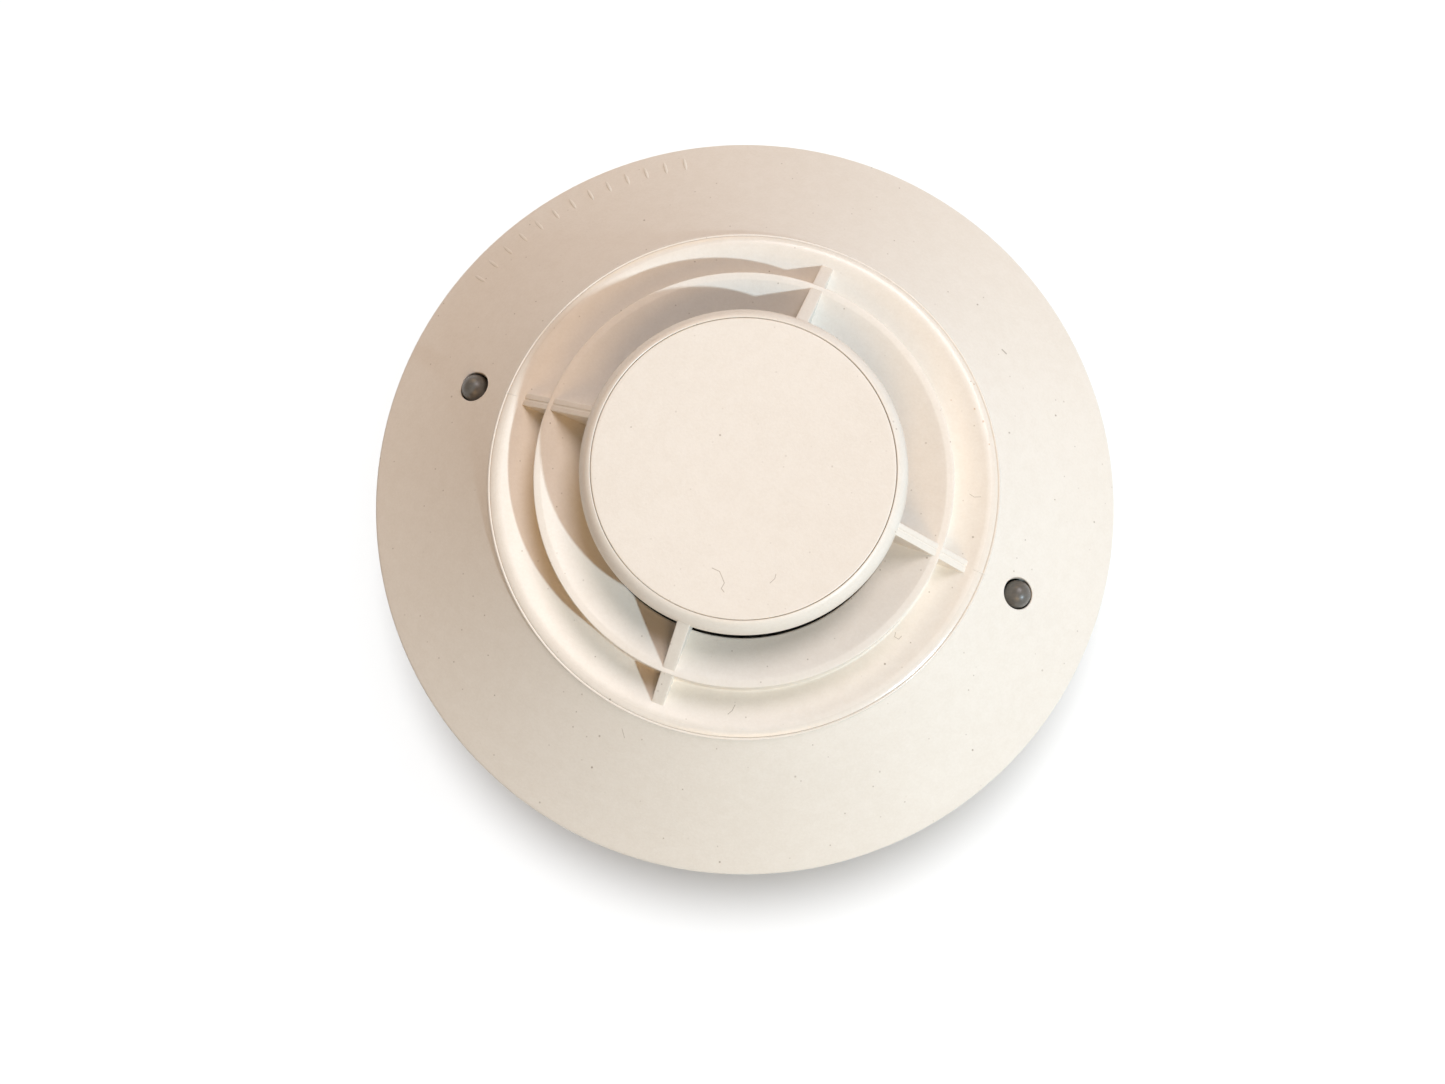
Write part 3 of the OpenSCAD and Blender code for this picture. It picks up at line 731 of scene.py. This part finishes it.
def turned_solid(line, turns=TURNS):
    """A solid of revolution whose outline starts and ends on the axis."""
    angles = np.linspace(0, 2 * math.pi, turns, endpoint=False)
    ring_points = [(r * math.cos(a), r * math.sin(a), z) for r, z in line[1:-1] for a in angles]
    points = np.array(ring_points + [(0, 0, line[0][1]), (0, 0, line[-1][1])])
    faces = []
    rows = len(line) - 2
    for i in range(rows - 1):
        for j in range(turns):
            m = (j + 1) % turns
            faces.append((i * turns + j, i * turns + m, (i + 1) * turns + m, (i + 1) * turns + j))
    low, high = rows * turns, rows * turns + 1
    for j in range(turns):
        m = (j + 1) % turns
        faces.append((m, j, low))
        faces.append(((rows - 1) * turns + j, (rows - 1) * turns + m, high))
    return points, faces


piece(
    "cap_disc_moulding", [lifted(turned_solid(disc_line))], ivory_disc, "head", ["cap_disc"]
)

# ---------------------------------------------------------------- lamps

LENS_TURNS = 96
COLLAR_WIDE, COLLAR_HIGH = 0.5, 1  # the foot that stops the lamp from falling out of its hole
for side, hand in ((1, "right"), (-1, "left")):
    node_name = f"indicator_lamp_{hand}"
    low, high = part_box(node_name)
    foot, top = low.z / MM, high.z / MM
    middle = top - LAMP_R
    collar_r, collar_top = LAMP_R + COLLAR_WIDE, foot + COLLAR_HIGH
    line = [(0.0, foot), (collar_r, foot), (collar_r, collar_top - 0.15), (collar_r - 0.15, collar_top)]
    line += [(LAMP_R, collar_top), (LAMP_R, middle - 2), (LAMP_R, middle)]
    line += arc(0, middle, LAMP_R, LAMP_R, 6, 86, 16) + [(0.0, top)]
    points, faces = turned_solid(line, LENS_TURNS)
    moved = points + (side * LAMP_AT, 0, 0)
    piece(f"lamp_lens_{hand}", [(moved, faces)], lens, "head", [node_name])

# ---------------------------------------------------------------- camera, floor and light

FLOOR_R, FLOOR_Z, FLOOR_SIDES = 4.0, -0.0001, 64  # metres, just below the base
PHOTO_TURN, PITCH, YAW = 21.07, 7.69, 0.78  # the camera's turn about Z, and its tilts, degrees
EYE = (0.0164, -0.0403, 0.3040)
SENSOR, FOCAL = 36.0, 49.83

camera_data = bpy.data.cameras.new("camera")
camera_data.sensor_width = SENSOR
camera_data.lens = FOCAL
camera_data.clip_start, camera_data.clip_end = 0.01, 20
camera = bpy.data.objects.new("camera", camera_data)
bpy.context.scene.collection.objects.link(camera)
tilt = Matrix.Rotation(math.radians(PITCH), 4, "X") @ Matrix.Rotation(math.radians(YAW), 4, "Y")
camera.matrix_world = Matrix.Translation(EYE) @ Matrix.Rotation(math.radians(PHOTO_TURN), 4, "Z") @ tilt
bpy.context.scene.camera = camera

floor_mesh = bpy.data.meshes.new("floor")
floor_turns = np.linspace(0, 2 * math.pi, FLOOR_SIDES, endpoint=False)
floor_edge = [(FLOOR_R * math.cos(t), FLOOR_R * math.sin(t), FLOOR_Z) for t in floor_turns]
floor_mesh.from_pydata(floor_edge, [], [tuple(range(FLOOR_SIDES))])
floor = bpy.data.objects.new("floor", floor_mesh)
bpy.context.scene.collection.objects.link(floor)
paper = Nodes("pale_floor")
paper_cloud = paper.spread(paper.noise(9, 2, 0.5), 0.3, 0.7)
paper_tone = paper.blend(paper_cloud, (0.93, 0.93, 0.93), (0.90, 0.90, 0.90))
# the card throws less light back up than its paleness would
bounced = paper.add("ShaderNodeLightPath").outputs["Is Diffuse Ray"]
paper_tone = paper.blend(bounced, paper_tone, (0.62, 0.61, 0.60))
paper_grain = paper.bump(paper.noise(400, 2, 0.5), 0.01, 0.0002)
floor_mesh.materials.append(paper.finish(Base_Color=paper_tone, Roughness=0.9, Normal=paper_grain))
paper.shader.inputs["Specular IOR Level"].default_value = 0.0
floor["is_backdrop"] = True

lit_object = bpy.data.collections.new("lit_object")
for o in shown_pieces():
    lit_object.objects.link(o)
lit_floor = bpy.data.collections.new("lit_floor")
lit_floor.objects.link(floor)


LIGHT_AWAY = 0.8


def sun(name, photo_azimuth, elevation, softness, strength, colour, receivers):
    """A distant light on the pieces of one collection.

    Its azimuth counts from the photograph's right, and softness is its width in degrees.
    """
    data = bpy.data.lights.new(name, "SUN")
    data.angle = math.radians(softness)
    data.energy = strength
    data.color = colour
    light = bpy.data.objects.new(name, data)
    a, e = math.radians(photo_azimuth + PHOTO_TURN), math.radians(elevation)
    out = Vector((math.cos(e) * math.cos(a), math.cos(e) * math.sin(a), math.sin(e)))
    light.rotation_mode = "QUATERNION"
    light.rotation_quaternion = out.to_track_quat("Z", "Y")
    light.location = out * LIGHT_AWAY
    bpy.context.scene.collection.objects.link(light)
    light.light_linking.receiver_collection = receivers


sun("key", -39.1, 40.5, 2.0, 2.34, (0.67, 0.86, 1.00), lit_object)
sun("soft_side", 60, 58, 30, 1.46, (1.00, 0.94, 0.97), lit_object)
sun("soft_low", 270, 45, 30, 0.90, (1.00, 0.66, 0.35), lit_object)
sun("soft_top", 105, 30, 30, 0.64, (1.00, 0.63, 0.30), lit_object)
sun("floor_light", 90, 79, 24, 2.1, (0.985, 0.992, 1.0), lit_floor)
sun("floor_soft", 60, 84, 100, 1.4, (0.985, 0.992, 1.0), lit_floor)

SKY_LIGHT, SKY_SEEN = 0.06, 1.05  # strength as a light, and as seen behind the object
world = bpy.data.worlds.new("studio")
bpy.context.scene.world = world
world.use_nodes = True
sky = world.node_tree.nodes["Background"]
sky.inputs["Color"].default_value = (0.9, 0.9, 0.9, 1.0)
seen = world.node_tree.nodes.new("ShaderNodeLightPath")  # the far backdrop is pale, and lights little
level = world.node_tree.nodes.new("ShaderNodeMapRange")
world.node_tree.links.new(seen.outputs["Is Camera Ray"], level.inputs["Value"])
level.inputs["To Min"].default_value, level.inputs["To Max"].default_value = SKY_LIGHT, SKY_SEEN
world.node_tree.links.new(level.outputs["Result"], sky.inputs["Strength"])

bpy.context.scene.view_settings.view_transform = "Standard"

low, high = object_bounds()
